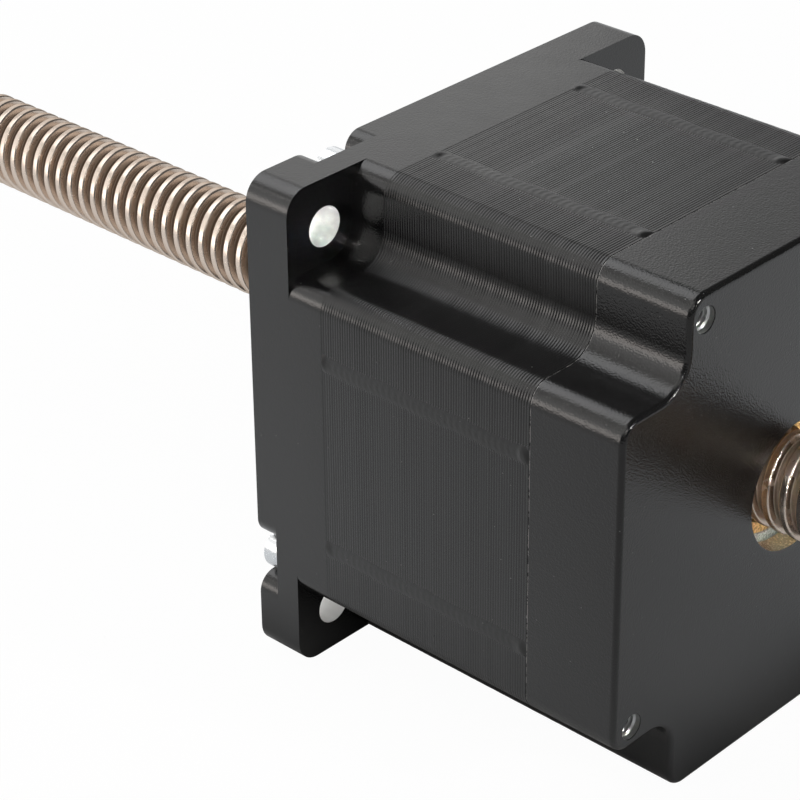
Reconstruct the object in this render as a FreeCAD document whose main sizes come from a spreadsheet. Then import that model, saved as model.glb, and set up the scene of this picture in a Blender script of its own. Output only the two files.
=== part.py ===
import FreeCAD, Part

import math
import os

import Sketcher
from FreeCAD import Placement, Rotation, Vector

# A size 34 non-captive linear stepper motor, in millimetres.
# The origin is the centre of the mounting face. +X points out of that face along the screw, +Z is up.
doc = FreeCAD.newDocument("linear_stepper")
sheet = doc.addObject("Spreadsheet::Sheet", "sizes")

# Driving dimensions: name, value, what it measures
SIZES = (
    ("frame_width", 86.0, "side of the square flange and stack"),
    ("ear_thickness", 8.75, "flange ears, front to back"),
    ("ear_corner_radius", 4.2, "corner of the flange seen from the front"),
    ("front_bell_length", 15.7, "mounting face to stack"),
    ("stack_length", 41.8, "stator laminations"),
    ("rear_bell_length", 17.2, "stack to rear face"),
    ("rear_edge_radius", 0.9, "rounded edge of the rear face"),
    ("notch_depth", 14.3, "corner notch, measured in from the side"),
    ("notch_outer_radius", 3.6, "convex rounds of the corner notch"),
    ("notch_inner_radius", 5.5, "concave round of the corner notch"),
    ("mount_inset", 8.2, "mounting hole axis to each side of the flange"),
    ("mount_hole_dia", 6.6, "mounting hole"),
    ("pilot_dia", 73.025, "centring boss"),
    ("pilot_height", 2.0, "centring boss in front of the mounting face"),
    ("end_bore_dia", 22.2, "hole in both bells for the screw"),
    ("bell_wall", 4.0, "thinnest bell wall beside the coil room"),
    ("front_cavity_depth", 8.6, "coil room in the front bell"),
    ("rear_cavity_depth", 10.4, "coil room in the rear bell"),
    ("bearing_bore", 25.0, "ball bearing inner diameter"),
    ("bearing_outer", 37.0, "ball bearing outer diameter"),
    ("bearing_width", 7.0, "ball bearing width"),
    ("bearing_inset", 3.6, "mounting face to front bearing"),
    ("bearing_boss_wall", 4.0, "bell wall round each bearing"),
    ("bearing_lip", 1.7, "shoulder that holds the outer ring"),
    ("ring_relief", 0.7, "axial room beside the turning ring and tube"),
    ("ball_dia", 3.5, "bearing ball"),
    ("ball_count", 13, "balls in one bearing"),
    ("race_clearance", 0.08, "between ball and race"),
    ("race_land", 2.1, "ring thickness beside the race"),
    ("shield_thickness", 0.3, "bearing shield"),
    ("shield_gap", 0.25, "shield to inner ring"),
    ("cage_wall", 1.3, "ball cage, radial"),
    ("cage_width", 4.4, "ball cage, axial"),
    ("spring_thickness", 0.4, "preload washer sheet"),
    ("spring_height", 1.2, "preload washer as fitted"),
    ("spring_width", 2.6, "preload washer, radial"),
    ("spring_clearance", 0.3, "preload washer to the bearing bore"),
    ("tube_shoulder", 1.5, "step on the rotor tube beside each bearing"),
    ("nut_outer_dia", 20.0, "drive nut and the tube bore that holds it"),
    ("nut_length", 34.6, "drive nut"),
    ("nut_recess", 0.3, "nut face inside the tube's end"),
    ("nut_stop", 0.8, "step in the tube that stops the nut"),
    ("screw_dia", 15.875, "lead screw over the crests"),
    ("screw_length", 305.0, "lead screw end to end"),
    ("screw_reach", 127.0, "lead screw in front of the mounting face"),
    ("journal_dia", 11.0, "plain turned ends of the lead screw"),
    ("journal_length", 12.0, "plain turned ends of the lead screw"),
    ("journal_chamfer", 0.8, "edge of the turned ends"),
    ("thread_pitch", 3.175, "crest to crest"),
    ("thread_starts", 2, "number of threads side by side"),
    ("flank_angle", 14.5, "thread flank to the radius, in degrees"),
    ("crest_clearance", 0.254, "radial room at crest and root"),
    ("flank_clearance", 0.1, "axial room taken from each flank"),
    ("rotor_dia", 50.8, "rotor over its teeth"),
    ("rotor_teeth", 50, "teeth round the rotor"),
    ("tooth_depth", 1.2, "rotor and stator teeth"),
    ("tooth_share", 0.55, "gap between teeth as a share of the tooth pitch"),
    ("air_gap", 0.2, "rotor to stator"),
    ("magnet_thickness", 6.0, "ring magnet between the cups"),
    ("magnet_dia", 45.0, "ring magnet"),
    ("pole_count", 8, "stator poles"),
    ("pole_teeth", 6, "teeth on one pole"),
    ("pole_width", 13.0, "pole between the coils"),
    ("shoe_thickness", 3.2, "pole shoe under its coil"),
    ("yoke_wall", 4.7, "thinnest stack wall behind the winding slots"),
    ("slot_opening", 3.0, "between neighbouring pole shoes"),
    ("weld_spacing", 33.6, "between the two weld grooves of one side"),
    ("weld_width", 2.6, "weld groove"),
    ("weld_depth", 0.3, "weld groove"),
    ("insulator_thickness", 1.0, "coil insulator plate"),
    ("insulator_lip", 1.2, "rims that hold the coil ends"),
    ("insulator_height", 6.4, "rims above the stack"),
    ("coil_gap", 0.15, "coil to insulator and to the next coil"),
    ("coil_back_room", 3.15, "coil to the bottom of the winding slot, in the middle of a pole"),
    ("coil_build", 4.4, "coil wall round the pole"),
    ("coil_corner", 4.7, "outer corner of the coil"),
    ("bolt_dia", 4.0, "housing screw"),
    ("bolt_clearance", 0.25, "radial room round the housing screw"),
    ("bolt_side", 4.4, "housing screw axis to the nearest side"),
    ("bolt_inset", 3.6, "housing screw axis to the wall of the corner notch"),
    ("bolt_reach", 10.6, "housing screw in the rear bell"),
    ("head_dia", 7.0, "housing screw head"),
    ("head_height", 3.9, "housing screw head"),
    ("socket_width", 3.0, "hexagon socket across its flats"),
    ("socket_depth", 2.0, "hexagon socket"),
    ("pocket_width", 7.8, "pocket for a screw head"),
    ("pocket_depth", 4.1, "pocket for a screw head"),
    ("pocket_round", 3.2, "rounded mouth of the pocket"),
    ("tap_dia", 4.2, "tapped hole for the housing screw"),
    ("lead_hole_dia", 6.4, "hole for the lead wires in the rear bell"),
    ("lead_hole_inset", 5.7, "lead wire hole behind the stack"),
    ("grommet_bore", 4.4, "passage for the lead wires"),
    ("grommet_rim", 1.2, "rims of the grommet"),
    ("grommet_squeeze", 0.05, "radial room round the grommet's neck"),
)
for row, (alias, number, note) in enumerate(SIZES, start=1):
    sheet.set(f"A{row}", alias)
    sheet.set(f"B{row}", str(number))
    sheet.set(f"C{row}", note)
    sheet.setAlias(f"B{row}", alias)
doc.recompute()


def value(expression):
    """Number that an expression of the sheet's names stands for."""
    return float(sheet.evalExpression(expression))


def size(name):
    """The sheet's cell as an expression."""
    return f"sizes.{name}"


# Places along the axis
stack_front = "(-sizes.front_bell_length)"
stack_rear = f"({stack_front} - sizes.stack_length)"
rear_face = f"({stack_rear} - sizes.rear_bell_length)"
front_bearing = "(-sizes.bearing_inset - sizes.bearing_width)"
rear_shoulder = f"({rear_face} + sizes.bearing_inset + sizes.ring_relief)"
rear_bearing = f"({rear_shoulder} + sizes.spring_height)"
tube_front = "(-sizes.bearing_inset)"
tube_rear = rear_shoulder
nut_rear = f"({tube_rear} + sizes.nut_recess)"
nut_front = f"({nut_rear} + sizes.nut_length)"
screw_rear = "(sizes.screw_reach - sizes.screw_length)"
cup_length = "((sizes.stack_length - sizes.magnet_thickness) / 2)"
magnet_rear = f"({stack_rear} + {cup_length})"
magnet_front = f"({magnet_rear} + sizes.magnet_thickness)"

# Radii and distances across it
half_width = "(sizes.frame_width / 2)"
notch_wall = f"({half_width} - sizes.notch_depth)"
mount_offset = f"({half_width} - sizes.mount_inset)"
bolt_height = f"({half_width} - sizes.bolt_side)"
bolt_offset = f"({notch_wall} - sizes.bolt_inset)"
end_bore = "(sizes.end_bore_dia / 2)"
cavity = f"({half_width} - sizes.bell_wall)"
seat_inner = "(sizes.bearing_bore / 2)"
seat_outer = "(sizes.bearing_outer / 2)"
ball_circle = f"(({seat_inner} + {seat_outer}) / 2)"
tube_outer = f"({seat_inner} + sizes.tube_shoulder)"
nut_outer = "(sizes.nut_outer_dia / 2)"
crest = "(sizes.screw_dia / 2)"
rotor_outer = "(sizes.rotor_dia / 2)"
stator_bore = f"({rotor_outer} + sizes.air_gap)"
shoe_back = f"({stator_bore} + sizes.shoe_thickness)"
slot_bottom = f"({half_width} - sizes.yoke_wall)"
pole_side = "(sizes.pole_width / 2)"
coil_inner = f"({shoe_back} + sizes.coil_gap)"
coil_outer = f"({slot_bottom} - sizes.coil_back_room)"
insulator_side = "(sizes.insulator_lip / 2)"


def plane(body, role):
    """One of a body's own origin planes or axes."""
    return next(item for item in body.Origin.OriginFeatures if item.Role == role)


def new_body(name):
    """An empty body whose label names its file."""
    body = doc.addObject("PartDesign::Body", name)
    body.Label = name
    return body


def new_sketch(body, name, role="YZ_Plane", offset=None):
    """A sketch on an origin plane, moved along that plane's normal by an expression."""
    sketch = body.newObject("Sketcher::SketchObject", f"{body.Name}_{name}")
    sketch.AttachmentSupport = [(plane(body, role), "")]
    sketch.MapMode = "FlatFace"
    if offset:
        sketch.AttachmentOffset = Placement(Vector(0, 0, value(offset)), Rotation())
        sketch.setExpression("AttachmentOffset.Base.z", offset)
    return sketch


def fix(sketch, kind, expression, *where):
    """A sketch dimension tied to the sheet."""
    index = sketch.addConstraint(Sketcher.Constraint(kind, *where, value(expression)))
    sketch.setExpression(f"Constraints[{index}]", expression)


def fix_point(sketch, edge, end, across, up):
    """Ties one end of an edge to its place in the sketch."""
    fix(sketch, "DistanceX", across, edge, end)
    fix(sketch, "DistanceY", up, edge, end)


def add_polygon(sketch, corners):
    """A closed outline of straight lines through corners given as expressions."""
    points = [Vector(value(across), value(up), 0) for across, up in corners]
    first = sketch.GeometryCount
    count = len(points)
    for index in range(count):
        sketch.addGeometry(Part.LineSegment(points[index], points[(index + 1) % count]))
    for index in range(count):
        following = first + (index + 1) % count
        sketch.addConstraint(Sketcher.Constraint("Coincident", first + index, 2, following, 1))
    for index, (across, up) in enumerate(corners):
        fix_point(sketch, first + index, 1, across, up)


def add_circle(sketch, across, up, radius):
    """A circle whose centre and radius are expressions."""
    centre = Vector(value(across), value(up), 0)
    edge = sketch.addGeometry(Part.Circle(centre, Vector(0, 0, 1), value(radius)))
    fix_point(sketch, edge, 3, across, up)
    fix(sketch, "Radius", radius, edge)


def rectangle(left, bottom, right, top):
    """Corners of an upright rectangle."""
    return [(left, bottom), (right, bottom), (right, top), (left, top)]


def pad(body, sketch, length):
    """Material from the sketch along its normal."""
    feature = body.newObject("PartDesign::Pad", f"{sketch.Name}_pad")
    feature.Profile = sketch
    feature.setExpression("Length", length)
    return settle(body, feature)


def pocket(body, sketch, length=None, reverse=False):
    """Removes material against the sketch's normal, or right through both ways."""
    feature = body.newObject("PartDesign::Pocket", f"{sketch.Name}_cut")
    feature.Profile = sketch
    if length:
        feature.setExpression("Length", length)
        feature.Reversed = reverse
    else:
        feature.Type = "ThroughAll"
        feature.SideType = "Symmetric"
    return settle(body, feature)


def turn(body, sketch, kind="PartDesign::Revolution", axis="X_Axis"):
    """Revolves a sketch a full turn, adding or removing material."""
    feature = body.newObject(kind, f"{sketch.Name}_turn")
    feature.Profile = sketch
    feature.ReferenceAxis = (plane(body, axis), [""])
    feature.Angle = 360
    return settle(body, feature)


def ring_pattern(body, features, count, whole=False):
    """Repeats features, or the whole body so far, evenly round the motor's axis."""
    pattern = body.newObject("PartDesign::PolarPattern", f"{features[0].Name}_round")
    if whole:
        pattern.TransformMode = "Whole shape"
    else:
        pattern.Originals = features
    pattern.Axis = (plane(body, "X_Axis"), [""])
    pattern.Angle = 360
    pattern.setExpression("Occurrences", count)
    return settle(body, pattern)


def settle(body, feature):
    """Makes a feature the body's result and computes it."""
    body.Tip = feature
    doc.recompute()
    return feature


def round_edges(body, name, radius, chosen):
    """Rounds the edges that a test picks from the body's present shape."""
    base = body.Tip
    edges = [f"Edge{index}" for index, edge in enumerate(base.Shape.Edges, start=1) if chosen(edge)]
    feature = body.newObject("PartDesign::Fillet", f"{body.Name}_{name}")
    feature.Base = (base, edges)
    feature.setExpression("Radius", radius)
    return settle(body, feature)


def along_axis(edge, places, near=0.01):
    """Whether a straight edge runs along X at one of the places, each a distance pair in any quadrant."""
    start, finish = edge.Vertexes[0].Point, edge.Vertexes[-1].Point
    if abs(start.y - finish.y) > near or abs(start.z - finish.z) > near:
        return False
    here = (abs(start.y), abs(start.z))
    return any(abs(here[0] - a) < near and abs(here[1] - b) < near for a, b in places)


def turned_piece(name, profile):
    """A body made on a lathe from one profile of places along X and radii."""
    body = new_body(name)
    sketch = new_sketch(body, "profile", "XY_Plane")
    add_polygon(sketch, profile)
    turn(body, sketch)
    return body


def notched_outline():
    """Corners of the square with its four corner notches, anticlockwise."""
    quarter = [(half_width, notch_wall), (notch_wall, notch_wall), (notch_wall, half_width)]
    corners = []
    for _ in range(4):
        corners += quarter
        quarter = [(f"(-{up})", across) for across, up in quarter]
    return corners


def notched_block(name, rear, length):
    """A length of the motor's notched section, with its corners rounded."""
    body = new_body(name)
    add_notched_length(body, "section", rear, length)
    return body


def add_notched_length(body, name, rear, length):
    """Adds a notched length to a body and rounds its corners along the axis."""
    sketch = new_sketch(body, name, offset=rear)
    add_polygon(sketch, notched_outline())
    pad(body, sketch, length)
    wall, side = value(notch_wall), value(half_width)
    hollow_corners = [(wall, wall)]
    full_corners = [(wall, side), (side, wall)]
    round_edges(body, f"{name}_inside", size("notch_inner_radius"),
                lambda edge: along_axis(edge, hollow_corners))
    round_edges(body, f"{name}_outside", size("notch_outer_radius"),
                lambda edge: along_axis(edge, full_corners))


def hollow(body, name, profile):
    """Removes a turned hollow about the motor's axis."""
    sketch = new_sketch(body, name, "XY_Plane")
    add_polygon(sketch, profile)
    turn(body, sketch, "PartDesign::Groove")


def bolt_holes(body, radius):
    """The four holes for the housing screws, right through."""
    sketch = new_sketch(body, "bolt_hole")
    add_circle(sketch, bolt_offset, bolt_height, radius)
    ring_pattern(body, [pocket(body, sketch)], "4")


# Front end bell: flange with ears, notched skirt, pilot, bearing seat and coil room
def front_end_bell():
    body = new_body("front_end_bell")
    flange = new_sketch(body, "flange", offset="(-sizes.ear_thickness)")
    add_polygon(flange, rectangle(f"(-{half_width})", f"(-{half_width})", half_width, half_width))
    pad(body, flange, size("ear_thickness"))
    side = value(half_width)
    round_edges(body, "ears", size("ear_corner_radius"), lambda edge: along_axis(edge, [(side, side)]))
    add_notched_length(body, "skirt", stack_front, "sizes.front_bell_length - sizes.ear_thickness")
    pilot = new_sketch(body, "pilot")
    add_circle(pilot, "0", "0", "sizes.pilot_dia / 2")
    pad(body, pilot, size("pilot_height"))
    relief = f"({tube_front} + sizes.ring_relief)"
    room = f"({stack_front} + sizes.front_cavity_depth)"
    boss = f"({seat_outer} + sizes.bearing_boss_wall)"
    lip = f"({seat_outer} - sizes.bearing_lip)"
    hollow(body, "inside", [
        (size("pilot_height"), "0"), (size("pilot_height"), end_bore), (relief, end_bore), (relief, lip),
        (tube_front, lip), (tube_front, seat_outer), (front_bearing, seat_outer), (front_bearing, boss),
        (room, boss), (room, cavity), (stack_front, cavity), (stack_front, "0"),
    ])
    mount = new_sketch(body, "mount_hole")
    add_circle(mount, mount_offset, mount_offset, "sizes.mount_hole_dia / 2")
    ring_pattern(body, [pocket(body, mount)], "4")
    bolt_holes(body, "sizes.bolt_dia / 2 + sizes.bolt_clearance")
    ring_pattern(body, [head_pocket(body)], "4")
    return body


def head_pocket(body):
    """Pocket for one screw head: round inside, flared where it breaks out of the flange's side."""
    sketch = new_sketch(body, "head_pocket")
    wide = "(sizes.pocket_width / 2)"
    flare = size("pocket_round")
    shoulder = f"({half_width} - {flare})"
    above = f"({half_width} + {flare})"
    left, right = f"({bolt_offset} - {wide} - {flare})", f"({bolt_offset} + {wide} + {flare})"
    left_wall, right_wall = f"({bolt_offset} - {wide})", f"({bolt_offset} + {wide})"
    floor = add_arc(sketch, bolt_offset, bolt_height, wide, 180, 360)
    right_round = add_arc(sketch, right, shoulder, flare, 90, 180)
    left_round = add_arc(sketch, left, shoulder, flare, 0, 90)
    for arc, end in ((floor, 1), (floor, 2)):
        fix(sketch, "DistanceY", bolt_height, arc, end)
    for arc, end in ((right_round, 2), (left_round, 1)):
        fix(sketch, "DistanceY", shoulder, arc, end)
    fix(sketch, "DistanceX", right, right_round, 1)
    fix(sketch, "DistanceX", left, left_round, 2)
    join(sketch, (right_wall, bolt_height), (right_wall, shoulder), (floor, 2), (right_round, 2))
    rise = join(sketch, (right, half_width), (right, above), (right_round, 1), None)
    drop = join(sketch, (left, above), (left, half_width), None, (left_round, 2))
    join(sketch, (right, above), (left, above), (rise, 2), (drop, 1))
    fix_point(sketch, rise, 2, right, above)
    fix_point(sketch, drop, 1, left, above)
    join(sketch, (left_wall, shoulder), (left_wall, bolt_height), (left_round, 1), (floor, 1))
    return pocket(body, sketch, size("pocket_depth"))


def add_arc(sketch, across, up, radius, start, finish):
    """An arc of a circle whose centre and radius are expressions, between two angles in degrees."""
    circle = Part.Circle(Vector(value(across), value(up), 0), Vector(0, 0, 1), value(radius))
    edge = sketch.addGeometry(Part.ArcOfCircle(circle, math.radians(start), math.radians(finish)))
    fix_point(sketch, edge, 3, across, up)
    fix(sketch, "Radius", radius, edge)
    return edge


def join(sketch, start, finish, start_on, finish_on):
    """A line between two places, with its ends on the ends of other edges."""
    ends = [Vector(value(across), value(up), 0) for across, up in (start, finish)]
    edge = sketch.addGeometry(Part.LineSegment(*ends))
    for end, partner in ((1, start_on), (2, finish_on)):
        if partner:
            sketch.addConstraint(Sketcher.Constraint("Coincident", edge, end, *partner))
    return edge


# Rear end bell: notched block with bearing seat, coil room, tapped holes and lead wire hole
def rear_end_bell():
    body = notched_block("rear_end_bell", rear_face, size("rear_bell_length"))
    back = value(rear_face)
    round_edges(body, "rear_edge", size("rear_edge_radius"), lambda edge: lies_at(edge, back))
    relief = f"({rear_shoulder} - sizes.ring_relief)"
    room = f"({stack_rear} - sizes.rear_cavity_depth)"
    boss = f"({seat_outer} + sizes.bearing_boss_wall)"
    lip = f"({seat_outer} - sizes.bearing_lip)"
    mouth = f"({rear_bearing} + sizes.bearing_width)"
    hollow(body, "inside", [
        (stack_rear, "0"), (stack_rear, cavity), (room, cavity), (room, boss), (mouth, boss),
        (mouth, seat_outer), (rear_shoulder, seat_outer), (rear_shoulder, lip), (relief, lip),
        (relief, end_bore), (rear_face, end_bore), (rear_face, "0"),
    ])
    bolt_holes(body, "sizes.tap_dia / 2")
    lead = new_sketch(body, "lead_hole", "XZ_Plane", offset=half_width)
    add_circle(lead, f"({stack_rear} - sizes.lead_hole_inset)", "0", "sizes.lead_hole_dia / 2")
    pocket(body, lead, f"{half_width} - {cavity} + sizes.grommet_rim")
    return body


def lies_at(edge, place, near=0.001):
    """Whether a whole edge lies in the plane across X at a place."""
    return abs(edge.BoundBox.XMin - place) < near and abs(edge.BoundBox.XMax - place) < near


# Stator stack: notched laminations, eight poles with six teeth, holes for the housing screws, weld grooves
def stator_stack():
    body = notched_block("stator_stack", stack_rear, size("stack_length"))
    bore = new_sketch(body, "bore")
    add_circle(bore, "0", "0", stator_bore)
    pocket(body, bore)
    slot = new_sketch(body, "slot")
    add_polygon(slot, slot_outline("0"))
    ring_pattern(body, [pocket(body, slot)], size("pole_count"))
    gaps = new_sketch(body, "tooth_gap")
    for index in range(int(value("sizes.pole_teeth")) - 1):
        add_polygon(gaps, tooth_gap(f"({index} + 1 - sizes.pole_teeth / 2)"))
    ring_pattern(body, [pocket(body, gaps)], size("pole_count"))
    bolt_holes(body, "sizes.bolt_dia / 2 + sizes.bolt_clearance")
    weld = new_sketch(body, "weld")
    bottom, above = f"({half_width} - sizes.weld_depth)", f"({half_width} + sizes.weld_depth)"
    for sign in ("-", ""):
        centre = f"({sign}sizes.weld_spacing / 2)"
        left, right = f"({centre} - sizes.weld_width / 2)", f"({centre} + sizes.weld_width / 2)"
        add_polygon(weld, rectangle(left, bottom, right, above))
    ring_pattern(body, [pocket(body, weld)], "4")
    return body


def slot_outline(inset):
    """Winding slot between two poles, in a frame whose first axis points along the slot's middle."""
    half_pitch = "(180 / sizes.pole_count)"
    opening = "(sizes.slot_opening / 2)"
    inner = f"({stator_bore} - sizes.air_gap)"

    def beside_pole(radius):
        # distance along and across the slot's middle for a point on the pole's side at this radius
        reach = f"sqrt(({radius})^2 - ({pole_side} + {inset})^2)"
        along = f"({reach} * cos({half_pitch}) + ({pole_side} + {inset}) * sin({half_pitch}))"
        aside = f"({reach} * sin({half_pitch}) - ({pole_side} + {inset}) * cos({half_pitch}))"
        return along, aside

    top_along, top_aside = beside_pole(shoe_back)
    low_along, low_aside = beside_pole(f"{slot_bottom} - {inset}")
    mid_shoe = f"({stator_bore} + sizes.shoe_thickness / 2)"
    upper = [(inner, opening), (mid_shoe, opening), (top_along, top_aside), (low_along, low_aside)]
    lower = [(along, f"(-{aside})") for along, aside in reversed(upper)]
    return turn_points(upper + lower, half_pitch)


def turn_points(points, angle):
    """Turns corners about the axis by an angle expression."""
    return [(f"({a} * cos({angle}) - {b} * sin({angle}))", f"({a} * sin({angle}) + {b} * cos({angle}))")
            for a, b in points]


def tooth_gap(step):
    """Gap between two teeth of a pole, a number of tooth pitches round from the pole's middle."""
    pitch = "(360 / sizes.rotor_teeth)"
    half_gap = f"({stator_bore} * sin({pitch} * sizes.tooth_share / 2))"
    low, high = f"({stator_bore} - sizes.air_gap)", f"({stator_bore} + sizes.tooth_depth)"
    return turn_points(rectangle(low, f"(-{half_gap})", high, half_gap), f"({step} * {pitch})")


# Coil insulators: one plate with two rims on each end of the stack, cut away between the poles
def coil_insulator(name, plate_rear, rims_rear):
    body = new_body(name)
    inside = f"({shoe_back} - sizes.insulator_lip)"
    plate = new_sketch(body, "plate", offset=plate_rear)
    add_circle(plate, "0", "0", f"({slot_bottom} + sizes.insulator_lip / 2)")
    add_circle(plate, "0", "0", inside)
    pad(body, plate, size("insulator_thickness"))
    rims = new_sketch(body, "rims", offset=rims_rear)
    add_circle(rims, "0", "0", inside)
    add_circle(rims, "0", "0", shoe_back)
    add_circle(rims, "0", "0", f"({coil_outer} + sizes.coil_gap)")
    add_circle(rims, "0", "0", f"({coil_outer} + sizes.coil_gap + sizes.insulator_lip)")
    pad(body, rims, "sizes.insulator_height - sizes.insulator_thickness")
    window = new_sketch(body, "window")
    add_polygon(window, slot_outline(insulator_side))
    ring_pattern(body, [pocket(body, window)], size("pole_count"))
    return body


# Coils: rounded rectangular loops of wire with a round back, one on every other pole
def phase_coils(name, pole):
    body = new_body(name)
    middle = f"({stack_front} - sizes.stack_length / 2)"
    inner_end = "(sizes.stack_length / 2 + sizes.insulator_thickness + sizes.coil_gap)"
    inner_side = f"({pole_side} + {insulator_side} + sizes.coil_gap)"
    loop = new_sketch(body, "loop", "XY_Plane", offset=coil_inner)
    for build in ("0", "sizes.coil_build"):
        end, aside = f"({inner_end} + {build})", f"({inner_side} + {build})"
        add_polygon(loop, rectangle(f"({middle} - {end})", f"(-{aside})", f"({middle} + {end})", aside))
    pad(body, loop, f"({coil_outer} - {coil_inner})")
    outer = value(f"{inner_side} + sizes.coil_build")
    inner = value(inner_side)
    round_edges(body, "outer_corner", size("coil_corner"), lambda edge: upright(edge, outer))
    round_edges(body, "inner_corner", "sizes.coil_corner - sizes.coil_build",
                lambda edge: upright(edge, inner))
    outside = new_sketch(body, "outside")
    add_circle(outside, "0", "0", coil_outer)
    add_circle(outside, "0", "0", f"({coil_outer} + sizes.frame_width)")
    pocket(body, outside)
    ring_pattern(body, [body.Tip], "sizes.pole_count / 2", whole=True)
    turned = f"({pole} * 360 / sizes.pole_count)"
    body.Placement = Placement(Vector(), Rotation(Vector(1, 0, 0), value(turned)))
    body.setExpression("Placement.Rotation.Angle", turned)
    return body


def upright(edge, aside, near=0.01):
    """Whether a straight edge stands along Z at a distance to either side."""
    start, finish = edge.Vertexes[0].Point, edge.Vertexes[-1].Point
    stands = abs(start.x - finish.x) < near and abs(start.y - finish.y) < near
    return stands and abs(abs(start.y) - aside) < near


# Housing screws: socket heads in the flange pockets, shanks through the stack into the rear bell
def housing_screws():
    body = new_body("housing_screws")
    seat = "(-sizes.pocket_depth)"
    tip = f"({stack_rear} - sizes.bolt_reach)"
    head = new_sketch(body, "head", offset=seat)
    add_circle(head, bolt_offset, bolt_height, "sizes.head_dia / 2")
    shank = new_sketch(body, "shank", offset=tip)
    add_circle(shank, bolt_offset, bolt_height, "sizes.bolt_dia / 2")
    socket = new_sketch(body, "socket", offset=f"({seat} + sizes.head_height)")
    corner = "(sizes.socket_width / sqrt(3))"
    hexagon = []
    for turned in range(0, 360, 60):
        across = f"({bolt_offset} + {corner} * cos({turned}))"
        hexagon.append((across, f"({bolt_height} + {corner} * sin({turned}))"))
    add_polygon(socket, hexagon)
    made = [pad(body, head, size("head_height")), pad(body, shank, f"({seat} - {tip})")]
    made.append(pocket(body, socket, size("socket_depth")))
    ring_pattern(body, made, "4")
    return body


# Ball bearings: rings with a round race, balls in a cage, two shields
def bearing(name, rear):
    front = f"({rear} + sizes.bearing_width)"
    middle = f"({rear} + sizes.bearing_width / 2)"
    inner_land = f"({seat_inner} + sizes.race_land)"
    outer_land = f"({seat_outer} - sizes.race_land)"
    rings = []
    for which, low, high in (("inner", seat_inner, inner_land), ("outer", outer_land, seat_outer)):
        ring = turned_piece(f"{name}_{which}_ring", rectangle(rear, low, front, high))
        race = new_sketch(ring, "race", "XY_Plane")
        add_circle(race, middle, ball_circle, "sizes.ball_dia / 2 + sizes.race_clearance")
        turn(ring, race, "PartDesign::Groove")
        rings.append(ring)
    balls = new_body(f"{name}_balls")
    ball = place_sphere(balls, "PartDesign::AdditiveSphere", middle, "sizes.ball_dia / 2")
    ring_pattern(balls, [ball], size("ball_count"))
    cage_low, cage_high = f"({ball_circle} - sizes.cage_wall / 2)", f"({ball_circle} + sizes.cage_wall / 2)"
    cage_rear, cage_front = f"({middle} - sizes.cage_width / 2)", f"({middle} + sizes.cage_width / 2)"
    cage = turned_piece(f"{name}_cage", rectangle(cage_rear, cage_low, cage_front, cage_high))
    hole_radius = "sizes.ball_dia / 2 + sizes.race_clearance"
    hole = place_sphere(cage, "PartDesign::SubtractiveSphere", middle, hole_radius)
    ring_pattern(cage, [hole], size("ball_count"))
    shields = new_body(f"{name}_shields")
    for side, place in (("rear", f"({rear} + sizes.shield_thickness)"),
                        ("front", f"({front} - 2 * sizes.shield_thickness)")):
        disc = new_sketch(shields, side, offset=place)
        add_circle(disc, "0", "0", outer_land)
        add_circle(disc, "0", "0", f"({inner_land} + sizes.shield_gap)")
        pad(shields, disc, size("shield_thickness"))
    return rings + [balls, cage, shields]


def place_sphere(body, kind, along, radius):
    """A ball, added or removed, on the bearing's ball circle."""
    sphere = body.newObject(kind, f"{body.Name}_ball")
    sphere.setExpression("Radius", radius)
    sphere.setExpression("Placement.Base.x", along)
    sphere.setExpression("Placement.Base.y", ball_circle)
    return settle(body, sphere)


# Preload washer: a flat ring bent about one diameter, between the rear bearing and its shoulder
def preload_spring():
    outer = f"({seat_outer} - sizes.spring_clearance)"
    bend = "(sizes.spring_height - sizes.spring_thickness)"
    inner_bend = f"(({outer}^2 + {bend}^2) / (2 * {bend}))"
    ring = tube("spring_ring", outer, f"({outer} - sizes.spring_width)", "sizes.spring_height")
    ring.Placement = Placement(Vector(), Rotation(Vector(0, 1, 0), 90))
    ring.setExpression("Placement.Base.x", rear_shoulder)
    sheet_bend = tube("spring_bend", f"({inner_bend} + sizes.spring_thickness)", inner_bend, f"2 * {outer}")
    sheet_bend.setExpression("Placement.Base.x", f"{rear_shoulder} + {inner_bend} + sizes.spring_thickness")
    sheet_bend.setExpression("Placement.Base.z", f"-{outer}")
    washer = doc.addObject("Part::Common", "preload_spring")
    washer.Base = ring
    washer.Tool = sheet_bend
    washer.Label = "preload_spring"
    doc.recompute()
    return washer


def tube(name, outer, inner, length):
    """A plain tube along Z."""
    parts = []
    for which, radius in (("outer", outer), ("inner", inner)):
        cylinder = doc.addObject("Part::Cylinder", f"{name}_{which}")
        cylinder.setExpression("Radius", radius)
        cylinder.setExpression("Height", length)
        parts.append(cylinder)
    cut = doc.addObject("Part::Cut", name)
    cut.Base, cut.Tool = parts
    return cut


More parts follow.
